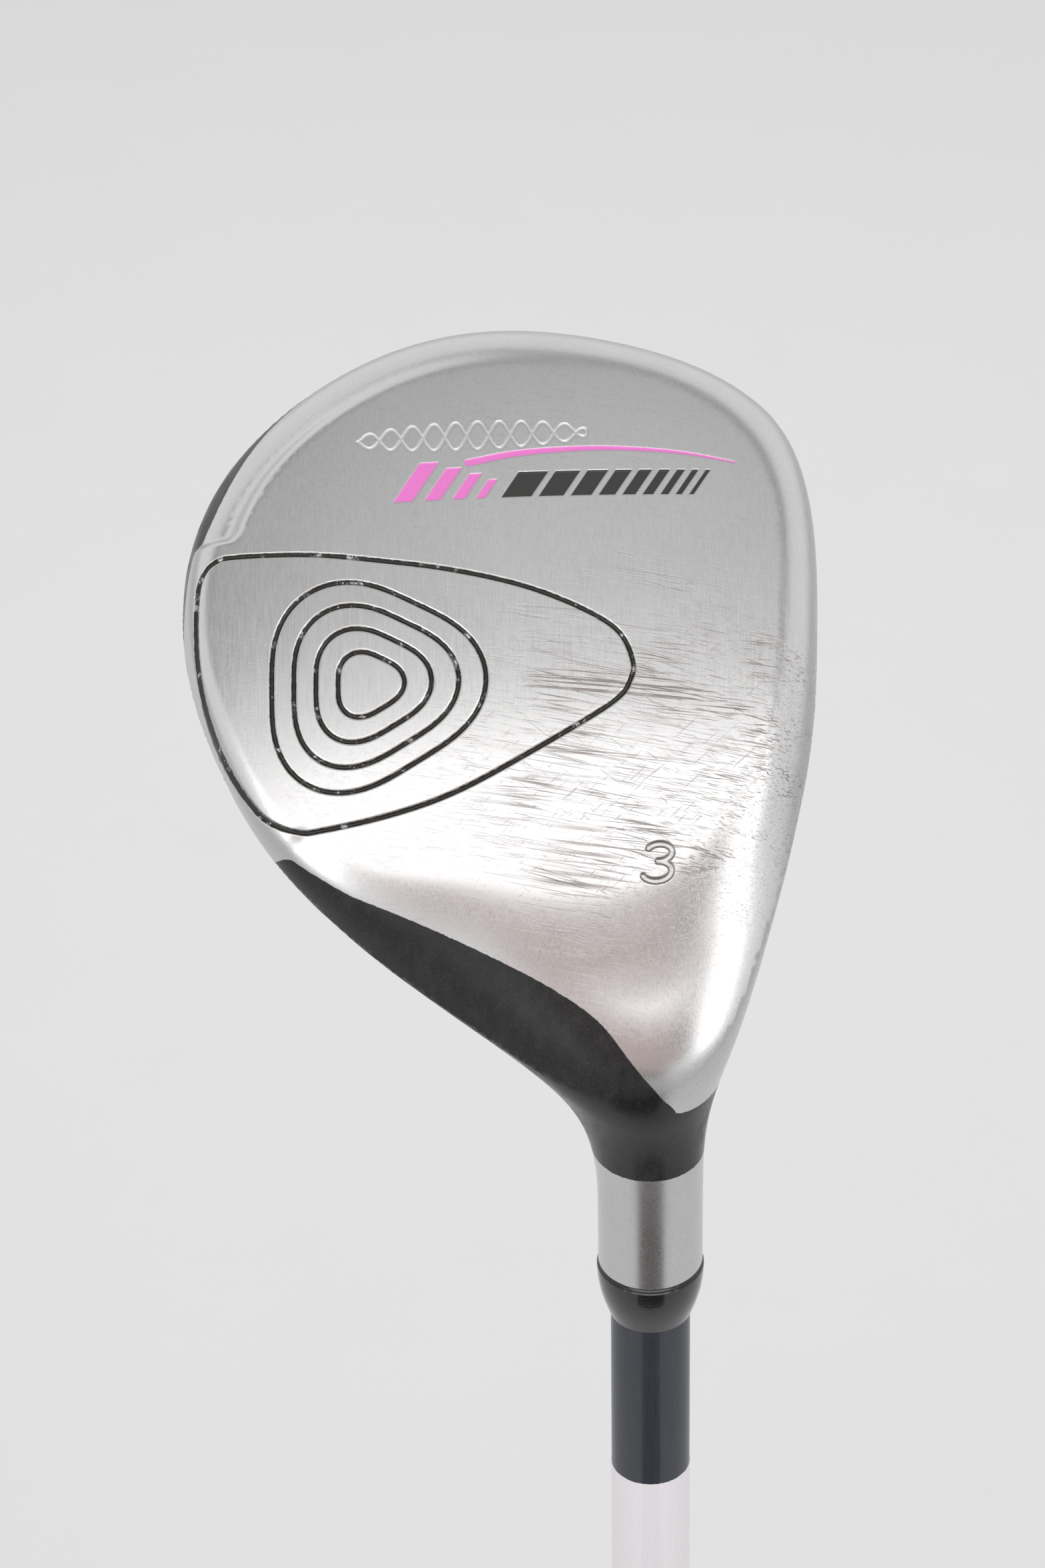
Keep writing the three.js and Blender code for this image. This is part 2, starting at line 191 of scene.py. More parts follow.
def grid_surface(field, low, high, step):
    """Quads near the zero level of a field: one vertex in each grid cell that the surface crosses."""
    axes = [np.arange(start, stop + step, step) for start, stop in zip(low, high)]
    value = field(np.stack(np.meshgrid(*axes, indexing="ij"), -1))
    inside = value < 0
    cells = np.array(inside.shape) - 1
    total = np.zeros((*cells, 3))
    crossings = np.zeros(cells)

    def corner(grid, shift):
        return grid[tuple(slice(s, s + n) for s, n in zip(shift, cells))]

    for start in np.ndindex(2, 2, 2):
        for axis in range(3):
            if start[axis]:
                continue
            stop = tuple(1 if k == axis else s for k, s in enumerate(start))
            before = corner(value, start)
            after = corner(value, stop)
            crossed = (before < 0) != (after < 0)
            share = before / np.where(crossed, before - after, 1)
            for k in range(3):
                total[..., k] += crossed * (start[k] + (share if k == axis else 0))
            crossings += crossed
    active = crossings > 0
    index = np.full(cells, -1)
    index[active] = np.arange(active.sum())
    points = np.array(low) + step * (np.argwhere(active) + total[active] / crossings[active][:, None])
    quads = []
    for axis in range(3):
        side, up = [k for k in range(3) if k != axis]
        here = np.delete(inside, -1, axis)
        there = np.delete(inside, 0, axis)
        edges = np.argwhere(here != there)
        fits = (edges[:, side] > 0) & (edges[:, up] > 0)
        fits &= (edges[:, side] < cells[side]) & (edges[:, up] < cells[up])
        edges = edges[fits]
        ring = []
        for back_side, back_up in ((1, 1), (0, 1), (0, 0), (1, 0)):
            cell = edges.copy()
            cell[:, side] -= back_side
            cell[:, up] -= back_up
            ring.append(index[tuple(cell.T)])
        quad = np.stack(ring, -1)
        outward = here[tuple(edges.T)] ^ (axis == 1)
        quad[~outward] = quad[~outward][:, ::-1]
        quads.append(quad)
    return points, np.concatenate(quads)


def slope(field, points, reach=0.02):
    result = np.empty_like(points)
    for axis in range(3):
        shift = np.zeros(3)
        shift[axis] = reach
        result[:, axis] = (field(points + shift) - field(points - shift)) / (2 * reach)
    return result


def settle(field, points, rounds=3):
    """Moves points onto the zero level of a field."""
    for _ in range(rounds):
        steepness = slope(field, points)
        square = np.maximum((steepness ** 2).sum(-1), 1e-6)
        points = points - steepness * (field(points) / square)[:, None]
    return points


def split_long_edges(points, triangles, wanted):
    """Halves each edge that is longer than the size wanted at its middle."""
    starts = triangles
    stops = np.roll(triangles, -1, 1)
    keys = np.minimum(starts, stops) * len(points) + np.maximum(starts, stops)
    edges, which = np.unique(keys, return_inverse=True)
    which = which.reshape(keys.shape)
    first = points[edges // len(points)]
    second = points[edges % len(points)]
    middle = (first + second) / 2
    split = np.linalg.norm(first - second, axis=1) > wanted(middle)
    number = np.cumsum(split) - 1 + len(points)
    flags = split[which]
    middles = number[which]
    count = flags.sum(1)
    turn = np.where(count == 2, (np.argmin(flags, 1) + 1) % 3, np.argmax(flags, 1))
    order = (turn[:, None] + np.arange(3)) % 3
    a, b, c = np.take_along_axis(triangles, order, 1).T
    m, n, o = np.take_along_axis(middles, order, 1).T
    one, two, three = (count == k for k in (1, 2, 3))
    pieces = [triangles[count == 0]]
    for chosen, corners in (
        (one, (a, m, c)), (one, (m, b, c)),
        (two, (m, b, n)), (two, (a, m, n)), (two, (a, n, c)),
        (three, (a, m, o)), (three, (m, b, n)), (three, (o, n, c)), (three, (m, n, o)),
    ):
        pieces.append(np.stack(corners, -1)[chosen])
    return np.concatenate([points, middle[split]]), np.concatenate(pieces)


# ---------------------------------------------------------------- marks on the sole and face

SHIELD = [
    (-47.9, 47.7), (-39.3, 47.2), (-30.9, 45.8), (-22.4, 44.1), (-14.1, 41.7), (-7.4, 38.7), (-3.2, 35.8),
    (-1.5, 32.3), (-1.7, 29.7), (-4.2, 26.6), (-14.3, 20.6), (-22.7, 16.4), (-30.3, 14.1), (-38.2, 12.8),
    (-41.0, 12.9), (-43.4, 13.9), (-45.3, 15.5), (-47.3, 18.4), (-49.3, 22.2), (-50.9, 26.4), (-52.1, 30.9),
    (-52.8, 36.1), (-52.8, 42.3), (-52.2, 45.6), (-50.6, 47.3),
]
RING_CENTRE = (-32.5, 30.2)
RING_RADII = (12.6, 9.7, 6.8, 3.9)
RING_POINT = 0.10
GROOVE_HALF = 0.30
GROOVE_DEPTH = 0.30
ROPE = dict(start=-33.6, end=-6.3, middle=62.0, swing=1.9, wave=5.2, half=0.21, depth=0.12)
NUMERAL = dict(middle=(1.1, 7.8), upper=1.0, lower=1.15, slant=0.15, half=0.36, depth=0.25)
# Leaning bars: where each starts, how wide it is and how far it reaches to the toe.
BARS = dict(low=53.4, slant=0.62, dark_depth=0.14, pink_depth=0.10)
DARK_BARS = [
    (-16.6, 3.6, 56.8), (-12.2, 3.0, 56.8), (-8.4, 2.5, 56.8), (-5.1, 2.0, 56.8), (-2.3, 1.6, 56.8),
    (0.1, 1.3, 56.8), (2.2, 1.0, 56.8), (4.0, 0.8, 56.8), (5.6, 0.6, 56.8),
]
PINK_BARS = [(-29.4, 2.3, 58.6), (-25.7, 1.9, 57.7), (-22.4, 1.5, 56.8), (-19.6, 1.1, 55.9)]
ARC = dict(
    points=[(-20.4, 58.3), (-14.0, 59.4), (-5.0, 59.8), (4.0, 59.2), (11.4, 57.8)], half=0.50, tip=0.16,
)
FACE_LINES = dict(low=7.5, pitch=3.1, count=7, half_length=25.0, half=0.30, depth=0.25,
                  gap=9.0, aside=5.0)
GROOVE_WALL = (0.12, -0.26)
# Sizes of the triangles near a mark and away from it, and how the size grows between.
FINE_EDGE = 0.15
COARSE_EDGE = 1.2
EDGE_GROWTH = 0.45
FINE_REACH = 0.5
SPLIT_ROUNDS = 4
# Distances are measured up to FAR. Marks on the sole stop at UNDERSIDE.
FAR = 4.0
UNDERSIDE = 10.5


def smooth_curve(points, closed, spacing=0.08):
    """A Catmull-Rom curve through the points, as closely spaced samples."""
    points = np.array(points, float)
    if closed:
        ring = np.concatenate([points[-1:], points, points[:2]])
    else:
        ring = np.concatenate([2 * points[:1] - points[1:2], points, 2 * points[-1:] - points[-2:-1]])
    samples = []
    for before, start, stop, after in zip(ring, ring[1:], ring[2:], ring[3:]):
        count = max(2, int(np.linalg.norm(stop - start) / spacing))
        share = np.arange(count)[:, None] / count
        samples.append(
            start + share * (stop - before) / 2
            + share ** 2 * (before - 2.5 * start + 2 * stop - after / 2)
            + share ** 3 * (1.5 * (start - stop) + (after - before) / 2)
        )
    return np.concatenate(samples)


def ring_curve(radius):
    """A rounded triangle that points to the face."""
    angle = np.linspace(0, 2 * math.pi, int(radius * 80), endpoint=False)
    reach = radius * (1 + RING_POINT * np.cos(3 * angle))
    return np.stack([RING_CENTRE[0] + reach * np.cos(angle), RING_CENTRE[1] + reach * np.sin(angle)], -1)


def rope_curves():
    along = np.arange(ROPE["start"], ROPE["end"], 0.05)
    phase = 2 * math.pi * (along - along[0]) / ROPE["wave"]
    fade = np.sin(math.pi * (along - along[0]) / (along[-1] - along[0])) ** 0.35
    swing = ROPE["swing"] * fade * np.sin(phase)
    return [np.stack([along, ROPE["middle"] + side * swing], -1) for side in (1, -1)]


def numeral_curves():
    """A plain figure 3: two bows, one on the other."""
    curves = []
    bows = ((NUMERAL["upper"], NUMERAL["upper"], 150, -90), (NUMERAL["lower"], -NUMERAL["lower"], 90, -150))
    for radius, middle, start, stop in bows:
        turn = np.radians(np.linspace(start, stop, 90))
        across = radius * 1.5 * np.cos(turn)
        up = middle + radius * np.sin(turn)
        curves.append(np.stack([
            NUMERAL["middle"][0] + across + NUMERAL["slant"] * up,
            NUMERAL["middle"][1] + up,
        ], -1))
    return curves


def curve_tree(curves):
    samples = np.concatenate(curves)
    tree = KDTree(len(samples))
    for number, (u, t) in enumerate(samples):
        tree.insert((u, t, 0), number)
    tree.balance()
    return tree, samples.min(0) - FAR, samples.max(0) + FAR


def curve_distance(tree_and_box, u, t, near):
    tree, low, high = tree_and_box
    result = np.full(len(u), FAR)
    chosen = near & (u > low[0]) & (u < high[0]) & (t > low[1]) & (t < high[1])
    found = [tree.find((a, b, 0))[2] for a, b in zip(u[chosen], t[chosen])]
    result[chosen] = np.minimum(FAR, found)
    return result


def bars_distance(u, t, bars):
    """Signed distance to leaning bars, below zero inside."""
    result = np.full(len(u), FAR)
    low = BARS["low"]
    slant = BARS["slant"]
    for left, width, high in bars:
        across = np.abs(u - left - width / 2 - slant * (t - low)) - width / 2
        up = np.abs(t - (low + high) / 2) - (high - low) / 2
        result = np.minimum(result, np.maximum(across / math.hypot(1, slant), up))
    return result


def pink_distance(u, t):
    """Signed distance to the pink bars and to the arc, which gets thinner towards the face."""
    result = bars_distance(u, t, PINK_BARS)
    line = smooth_curve(ARC["points"], False, 0.3)
    reach = np.linspace(ARC["half"], ARC["tip"], len(line))
    low = line.min(0) - FAR
    high = line.max(0) + FAR
    near = (u > low[0]) & (u < high[0]) & (t > low[1]) & (t < high[1])
    for (a, b), half in zip(line, reach):
        result[near] = np.minimum(result[near], np.hypot(u[near] - a, t[near] - b) - half)
    return result


def face_line_distance(u, t, h, near):
    """Signed distance to the score lines across the face, which leave its middle clear."""
    up_face = (h - FACE["edge_height"]) / math.cos(LOFT)
    lines_up = (up_face - FACE_LINES["low"]) / FACE_LINES["pitch"]
    nearest = np.clip(np.round(lines_up), 0, FACE_LINES["count"] - 1)
    off_line = np.abs(lines_up - nearest) * FACE_LINES["pitch"]
    aside = np.abs(t - FACE["middle"] + FACE_LINES["aside"])
    past_end = np.maximum(aside - FACE_LINES["half_length"], FACE_LINES["gap"] - aside)
    result = np.hypot(off_line, np.maximum(0, past_end)) - FACE_LINES["half"]
    return np.where(near, np.minimum(result, FAR), FAR)


INKED_CURVES = curve_tree([smooth_curve(SHIELD, True)] + [ring_curve(radius) for radius in RING_RADII])
ROPE_CURVES = curve_tree(rope_curves())
NUMERAL_CURVES = curve_tree(numeral_curves())


def mark_distances(points):
    """For each mark on the head, how far each point lies outside its edge (below zero inside)."""
    u, t, h = points.T
    under = h < UNDERSIDE
    in_front = (u > face_forward(t, h) - 1.5) & (h > 6)
    return {
        "ink": curve_distance(INKED_CURVES, u, t, under) - GROOVE_HALF,
        "rope": curve_distance(ROPE_CURVES, u, t, under) - ROPE["half"],
        "numeral": curve_distance(NUMERAL_CURVES, u, t, under) - NUMERAL["half"],
        "pink": np.where(under, pink_distance(u, t), FAR),
        "dark": np.where(under, bars_distance(u, t, DARK_BARS), FAR),
        "score": face_line_distance(u, t, h, in_front),
    }


MARK_DEPTHS = {
    "ink": GROOVE_DEPTH, "rope": ROPE["depth"], "numeral": NUMERAL["depth"],
    "pink": BARS["pink_depth"], "dark": BARS["dark_depth"], "score": FACE_LINES["depth"],
}


def wanted_edge(points):
    nearest = np.min(np.abs(list(mark_distances(points).values())), 0)
    return np.clip(FINE_EDGE + EDGE_GROWTH * (nearest - FINE_REACH), FINE_EDGE, COARSE_EDGE)


def engraved_head():
    """The head's whole outer surface as triangles, with its marks cut in."""
    points, quads = grid_surface(head_field, HEAD_LOW, HEAD_HIGH, OUTER_STEP)
    points = settle(head_field, points)
    triangles = np.concatenate([quads[:, [0, 1, 2]], quads[:, [0, 2, 3]]])
    for _ in range(SPLIT_ROUNDS):
        points, triangles = split_long_edges(points, triangles, wanted_edge)
    points = settle(head_field, points, 2)
    normals = slope(head_field, points)
    normals /= np.linalg.norm(normals, axis=1)[:, None]
    depth = 0
    for name, distance in mark_distances(points).items():
        depth = np.maximum(depth, MARK_DEPTHS[name] * smooth_step(*GROOVE_WALL, distance))
    return points - normals * depth[:, None], triangles


# ---------------------------------------------------------------- meshes and pieces

def head_to_row(points):
    """Head coordinates to the row frame, in millimetres."""
    u, t, h = np.moveaxis(points, -1, 0)
    across = t * math.sin(LIE) + h * math.cos(LIE)
    up = t * math.cos(LIE) - h * math.sin(LIE)
    return np.stack([u, across, up + CLUB_LENGTH], -1)


def row_to_head(points):
    across = points[:, 1]
    up = points[:, 2] - CLUB_LENGTH
    t = across * math.sin(LIE) + up * math.cos(LIE)
    h = across * math.cos(LIE) - up * math.sin(LIE)
    return np.stack([points[:, 0], t, h], -1)


def face_outward(mesh):
    """Turns a closed mesh's faces outward, as the head's coordinates are mirrored in the row frame."""
    form = bmesh.new()
    form.from_mesh(mesh)
    if form.calc_volume(signed=True) < 0:
        mesh.flip_normals()
    form.free()


def add_object(name, data):
    thing = bpy.data.objects.new(name, data)
    bpy.context.scene.collection.objects.link(thing)
    return thing


def new_object(name, points, faces, material=None, closed=True):
    """An object from points in millimetres."""
    mesh = bpy.data.meshes.new(name)
    mesh.from_pydata(np.asarray(points) * MM, [], faces)
    mesh.validate()
    if closed:
        face_outward(mesh)
    if material:
        mesh.materials.append(material)
    return add_object(name, mesh)


def numbers(items, name, width=1, kind=np.float32):
    """One property of every item, as an array."""
    result = np.empty((len(items), width), kind)
    items.foreach_get(name, result.ravel())
    return result


def mesh_points(piece):
    return numbers(piece.data.vertices, "co", 3).astype(float) / MM


def cut(piece, other, operation):
    """Applies one boolean with another object."""
    step = piece.modifiers.new("cut", "BOOLEAN")
    step.solver = "MANIFOLD"
    step.operation = operation
    step.object = other
    bpy.context.view_layer.update()
    shaped = piece.evaluated_get(bpy.context.evaluated_depsgraph_get())
    mesh = bpy.data.meshes.new_from_object(shaped)
    piece.modifiers.remove(step)
    old = piece.data
    piece.data = mesh
    bpy.data.meshes.remove(old)


def discard(*pieces):
    for piece in pieces:
        mesh = piece.data
        bpy.data.objects.remove(piece)
        bpy.data.meshes.remove(mesh)


SHARP = dict(head=50, turned=40, grip=60, off_marks=0.6, off_surface=0.02, along=0.85)


def smooth(piece, sharp_degrees):
    piece.data.shade_smooth()
    piece.data.set_sharp_from_angle(angle=math.radians(sharp_degrees))


def place(piece, node):
    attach(piece, "root")
    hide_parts(node)


def span(node):
    """Where a CAD piece starts and ends along the shaft, in millimetres."""
    low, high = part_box(node)
    return low.z / MM, high.z / MM


def prism(name, outline, to_points):
    """A closed prism between two rings of points, given the outline and a function for each end."""
    count = len(outline)
    points = np.concatenate([to_points(outline, 0), to_points(outline, 1)])
    near = np.arange(count)
    following = np.roll(near, -1)
    walls = [np.array(face) for face in zip(near, following, following + count, near + count)]
    return new_object(name, points, walls + [near[::-1], near + count])


def revolved(name, radii, heights, material=None):
    """A closed solid about Z. Each row of radii and heights is the closed profile at one angle."""
    sides, count = radii.shape
    angle = np.arange(sides)[:, None] * 2 * math.pi / sides
    points = np.stack([np.cos(angle) * radii, np.sin(angle) * radii, heights], -1)
    row, column = np.indices((sides, count)).reshape(2, -1)
    next_row = (row + 1) % sides
    next_column = (column + 1) % count
    corners = ((row, column), (next_row, column), (next_row, next_column), (row, next_column))
    quads = np.stack([a * count + b for a, b in corners], -1)
    return new_object(name, points.reshape(-1, 3), quads, material)


def turned(name, profile, sides, material=None):
    """A closed solid of revolution about Z from a closed ring of (radius, z) corners."""
    radii, heights = np.array(profile, float).T
    return revolved(name, np.tile(radii, (sides, 1)), np.tile(heights, (sides, 1)), material)


def rounded(corners, bends):
    """A closed profile with rounded corners: bends holds each corner's radius, or 0 for a sharp one."""
    corners = np.array(corners, float)
    result = []
    for before, corner, after, bend in zip(np.roll(corners, 1, 0), corners, np.roll(corners, -1, 0), bends):
        if not bend:
            result.append(corner)
            continue
        back = (before - corner) / np.linalg.norm(before - corner)
        ahead = (after - corner) / np.linalg.norm(after - corner)
        half = math.acos(np.clip(back @ ahead, -1, 1)) / 2
        reach = bend / math.tan(half)
        for share in np.linspace(0, 1, 7):
            first = corner + back * reach * (1 - share)
            last = corner + ahead * reach * share
            result.append(first * (1 - share) + last * share)
    return result


# ---------------------------------------------------------------- the head's three pieces

CROWN_OPENING = dict(share=0.86, front=6.0, floor=15.5, roof=60.0, sides=96)
FACE_OPENING = dict(middle=37.0, half_width=28.0, bottom=6.5, top=28.5, corner=7.0, back=8.0, front=12.0)
SEAM = 0.04


def crown_prism(name, inset):
    angle = np.arange(CROWN_OPENING["sides"]) * 2 * math.pi / CROWN_OPENING["sides"]
    radius = around(OUTLINE_RADII, angle) * CROWN_OPENING["share"] - inset
    u = CENTRE[0] + radius * np.cos(angle)
    t = CENTRE[1] + radius * np.sin(angle)
    front = face_forward(t, 30.0) - CROWN_OPENING["front"] - inset
    u = np.minimum(u, front)
    outline = np.stack([u, t], -1)

    def ends(ring, end):
        height = CROWN_OPENING["roof"] if end else CROWN_OPENING["floor"] + inset
        return head_to_row(np.column_stack([ring, np.full(len(ring), height)]))

    return prism(name, outline, ends)


def face_prism(name, inset):
    """A rounded rectangle in the plane of the face, from behind it to in front of it."""
    half_width = FACE_OPENING["half_width"] - inset
    half_height = (FACE_OPENING["top"] - FACE_OPENING["bottom"]) / 2 - inset
    corner = FACE_OPENING["corner"] - inset
    outline = []
    for number, (side, up) in enumerate(((1, 1), (-1, 1), (-1, -1), (1, -1))):
        for turn in np.radians(90 * number + np.linspace(0, 90, 9)):
            outline.append((
                side * (half_width - corner) + corner * math.cos(turn),
                up * (half_height - corner) + corner * math.sin(turn),
            ))
    outline = np.array(outline)
    middle = (FACE_OPENING["top"] + FACE_OPENING["bottom"]) / 2 + FACE["edge_height"]

    def ends(ring, end):
        depth = FACE_OPENING["front"] if end else inset - FACE_OPENING["back"]
        height = middle + ring[:, 1] * math.cos(LOFT) + depth * math.sin(LOFT)
        forward = depth * math.cos(LOFT) - ring[:, 1] * math.sin(LOFT)
        forward = forward + face_forward(FACE["middle"], middle)
        return head_to_row(np.column_stack([forward, FACE_OPENING["middle"] + ring[:, 0], height]))

    return prism(name, outline, ends)


def hosel_cutter():
    """Everything that the hosel's bore and its trimmed, chamfered end take away."""
    edge = 0.3
    end = -HOSEL_END
    corners = [
        (0, -BORE_END), (BORE_RADIUS, -BORE_END), (BORE_RADIUS, end + edge), (BORE_RADIUS + edge, end),
        (NECK["radius"] - edge, end), (NECK["radius"] + 0.1, end + edge + 0.1), (9, end + edge + 0.1),
        (9, end - 6), (0, end - 6),
    ]
    corners = [(max(radius, 0.001), CLUB_LENGTH + z) for radius, z in corners]
    return turned("hosel_cutter", corners[::-1], 128)


# The black paint: above these heights round the rim, behind the face, and at the heel behind PAINT_LINE,
# which holds how far back each point lies and how far down the shaft.
PAINT = dict(top_line=1.5, front=1.2, top_depth=7.0, heel=16.0, hosel=28.0, hosel_reach=12.0, end=34.4)
PAINT_HEIGHTS = [14.0, 13.5, 14.0, 14.0, 14.0, 14.0, 11.5, 11.0,
                 15.5, 17.0, 17.0, 17.0, 17.0, 17.0, 16.5, 15.0]
PAINT_LINE = smooth_curve([
    (-56, 10), (-46, 5), (-42.5, 0.6), (-39.6, 0.8), (-34.6, 2.2), (-28.8, 3.5), (-16.3, 7.2), (-9.7, 9.8),
    (-5.6, 12.2), (-2.8, 15.2), (0.1, 18.7), (2.2, 21.5), (5.1, 23.4), (24, 22),
], False, 0.3)


def paint_distance(points):
    """How far each point lies inside the black painted part of the head, below zero on bare steel."""
    u, t, h = points.T
    angle, _ = polar(u, t)
    above = h - around(PAINT_HEIGHTS, angle)
    behind_face = (face_forward(t, h) - u) * math.cos(LOFT)
    over_top_line = np.minimum(h - crown_height(u, t) + PAINT["top_line"], behind_face - PAINT["front"])
    behind_front = np.maximum(over_top_line, behind_face - PAINT["top_depth"])
    body = np.minimum(above, behind_front)
    along = down_shaft(t, h)
    off_axis = np.hypot(u, t * math.sin(LIE) + h * math.cos(LIE))
    line_u, line_along = PAINT_LINE.T
    heel = np.where(t < PAINT["heel"], along - np.interp(u, line_u, line_along), -FAR)
    on_hosel = (along > PAINT["hosel"]) & (off_axis < PAINT["hosel_reach"])
    return np.where(on_hosel, PAINT["end"] - along, np.maximum(body, heel))


def add_marks(piece):
    """Stores, on each point, how far it lies from the paint line and each mark, in millimetres."""
    points = row_to_head(mesh_points(piece))
    values = mark_distances(points)
    values["paint"] = paint_distance(points)
    for name, value in values.items():
        layer = piece.data.attributes.new(name, "FLOAT", "POINT")
        layer.data.foreach_set("value", np.clip(value, -FAR, FAR).astype(np.float32))


def true_normals(piece):
    """Shades the outer surface by the head's field, except on marks and on cut or inner faces."""
    mesh = piece.data
    smooth(piece, SHARP["head"])
    points = row_to_head(mesh_points(piece))
    off_marks = np.min(np.abs(list(mark_distances(points).values())), 0) > SHARP["off_marks"]
    outer = (np.abs(head_field(points)) < SHARP["off_surface"]) & off_marks
    steepness = slope(head_field, points)
    normals = head_to_row(steepness / np.linalg.norm(steepness, axis=1)[:, None])
    normals[:, 2] -= CLUB_LENGTH
    corners = numbers(mesh.loops, "vertex_index", 1, np.int32)[:, 0]
    sizes = numbers(mesh.polygons, "loop_total", 1, np.int32)[:, 0]
    facing = np.repeat(numbers(mesh.polygons, "normal", 3), sizes, 0)
    along = (normals[corners] * facing).sum(1) > SHARP["along"]
    chosen = outer[corners] & along
    mesh.normals_split_custom_set(np.where(chosen[:, None], normals[corners], 0).tolist())


def build_head():
    points, triangles = engraved_head()
    shell = new_object("head_casting_detail", head_to_row(points), triangles)
    inner, quads = grid_surface(cavity_field, HEAD_LOW, HEAD_HIGH, CAVITY_STEP)
    inner = settle(cavity_field, inner, 2)
    cavity = new_object("cavity", head_to_row(inner), quads)
    bore = hosel_cutter()
    cut(shell, cavity, "DIFFERENCE")
    cut(shell, bore, "DIFFERENCE")
    crown = add_object("crown_detail", shell.data.copy())
    face = add_object("face_detail", shell.data.copy())
    openings = [crown_prism("crown_opening", 0), face_prism("face_opening", 0)]
    panels = [crown_prism("crown_panel", SEAM), face_prism("face_panel", SEAM)]
    for opening in openings:
        cut(shell, opening, "DIFFERENCE")
    cut(crown, panels[0], "INTERSECT")
    cut(face, panels[1], "INTERSECT")
    discard(cavity, bore, *openings, *panels)
    steel = head_finish()
    for piece in (shell, crown, face):
        add_marks(piece)
        true_normals(piece)
        piece.data.materials.clear()
        piece.data.materials.append(steel)
    place(shell, "head_casting")
    place(crown, "crown_plate")
    place(face, "face_plate")


# ---------------------------------------------------------------- materials

class Finish:
    """A material's node tree, with a short method for each kind of node."""

    def __init__(self, name, **shader):
        self.material = bpy.data.materials.new(name)
        self.material.use_nodes = True
        self.tree = self.material.node_tree
        self.shader = self.tree.nodes["Principled BSDF"]
        self.set(**shader)

    def feed(self, socket, value):
        if isinstance(value, bpy.types.NodeSocket):
            self.tree.links.new(value, socket)
        else:
            socket.default_value = value

    def set(self, **shader):
        for name, value in shader.items():
            self.feed(self.shader.inputs[name.replace("_", " ")], value)

    def node(self, kind, output=0, settings=None, **inputs):
        """Adds a node. Its inputs are given by name, with _ for a space, or by number as i0, i1."""
        node = self.tree.nodes.new(kind)
        for name, value in (settings or {}).items():
            setattr(node, name, value)
        for name, value in inputs.items():
            numbered = name[0] == "i" and name[1:].isdigit()
            self.feed(node.inputs[int(name[1:]) if numbered else name.replace("_", " ")], value)
        return node.outputs[output]

    def math(self, operation, first, second=0.0):
        return self.node("ShaderNodeMath", 0, {"operation": operation}, i0=first, i1=second)

    def vector(self, operation, first, second, output=0):
        return self.node("ShaderNodeVectorMath", output, {"operation": operation}, i0=first, i1=second)

    def plus(self, first, second):
        return self.math("ADD", first, second)

    def minus(self, first, second):
        return self.math("SUBTRACT", first, second)

    def times(self, first, second):
        return self.math("MULTIPLY", first, second)

    def most(self, first, *others):
        for other in others:
            first = self.math("MAXIMUM", first, other)
        return first

    def fade(self, value, low, high, bottom=0.0, top=1.0):
        """Goes smoothly from bottom to top as the value goes from low to high."""
        return self.node(
            "ShaderNodeMapRange", 0, {"interpolation_type": "SMOOTHSTEP"},
            i0=value, i1=low, i2=high, i3=bottom, i4=top,
        )

    def mix(self, share, first, second):
        return self.node(
            "ShaderNodeMix", 2, {"data_type": "RGBA"}, i0=share, i6=colour(first), i7=colour(second)
        )

    def attribute(self, name):
        return self.node("ShaderNodeAttribute", 2, {"attribute_name": name})

    def within(self, name, low, high):
        return self.fade(self.attribute(name), low, high)

    def place(self, scale):
        """Row coordinates in millimetres, scaled for each axis."""
        where = self.node("ShaderNodeTexCoord", 3)
        return self.vector("MULTIPLY", where, [factor / MM for factor in scale])

    def head_place(self, tilt=0.0):
        """Head coordinates u, t and -h in millimetres, turned on the sole by some degrees."""
        where = self.node("ShaderNodeTexCoord", 3)
        lean = math.pi / 2 - LIE
        offset = (0, -CLUB_LENGTH * math.sin(lean), -CLUB_LENGTH * math.cos(lean))
        straight = self.node(
            "ShaderNodeMapping", 0, None, Vector=where, Rotation=(-lean, 0, 0), Scale=(1 / MM,) * 3,
            Location=offset,
        )
        return self.node("ShaderNodeMapping", 0, None, Vector=straight, Rotation=(0, 0, math.radians(tilt)))

    def stretched(self, tilt, scale, seed=0.0):
        """Head coordinates scaled for each axis, for streaks along the sole."""
        turned_by = self.head_place(tilt)
        return self.node("ShaderNodeMapping", 0, None, Vector=turned_by, Scale=scale, Location=(seed,) * 3)

    def patch(self, u, t, radius):
        """A soft round mask about a point of the sole."""
        flat = self.vector("MULTIPLY", self.head_place(), (1, 1, 0))
        away = self.vector("DISTANCE", flat, (u, t, 0), 1)
        return self.fade(away, radius, radius * 0.3)

    def noise(self, where, detail, roughness, distortion=0.0):
        return self.node(
            "ShaderNodeTexNoise", 0, None, Vector=where, Scale=1.0, Detail=detail, Roughness=roughness,
            Distortion=distortion,
        )

    def bump(self, height, distance):
        return self.node("ShaderNodeBump", 0, None, Height=height, Distance=distance * MM)


def colour(value):
    if isinstance(value, bpy.types.NodeSocket):
        return value
    return (*value, 1.0)


STEEL = (0.71, 0.705, 0.70)
STEEL_DARK = (0.50, 0.485, 0.475)
SCRATCH_BROWN = (0.17, 0.135, 0.115)
STAIN = (0.34, 0.26, 0.20)
BLACK_PAINT = (0.009, 0.009, 0.010)
GROOVE_INK = (0.016, 0.015, 0.011)
PINK = (0.84, 0.21, 0.62)
BAR_INK = (0.035, 0.036, 0.033)
RUBBED_PAINT = (0.035, 0.035, 0.037)
PAINT_FLAKE = (0.09, 0.09, 0.095)
ETCHED_STEEL = (0.9, 0.9, 0.9)
# Painted shade: the colour laid on the sloping walls of the engraved numeral.
NUMERAL_WALL_SHADE = (0.24, 0.21, 0.19)


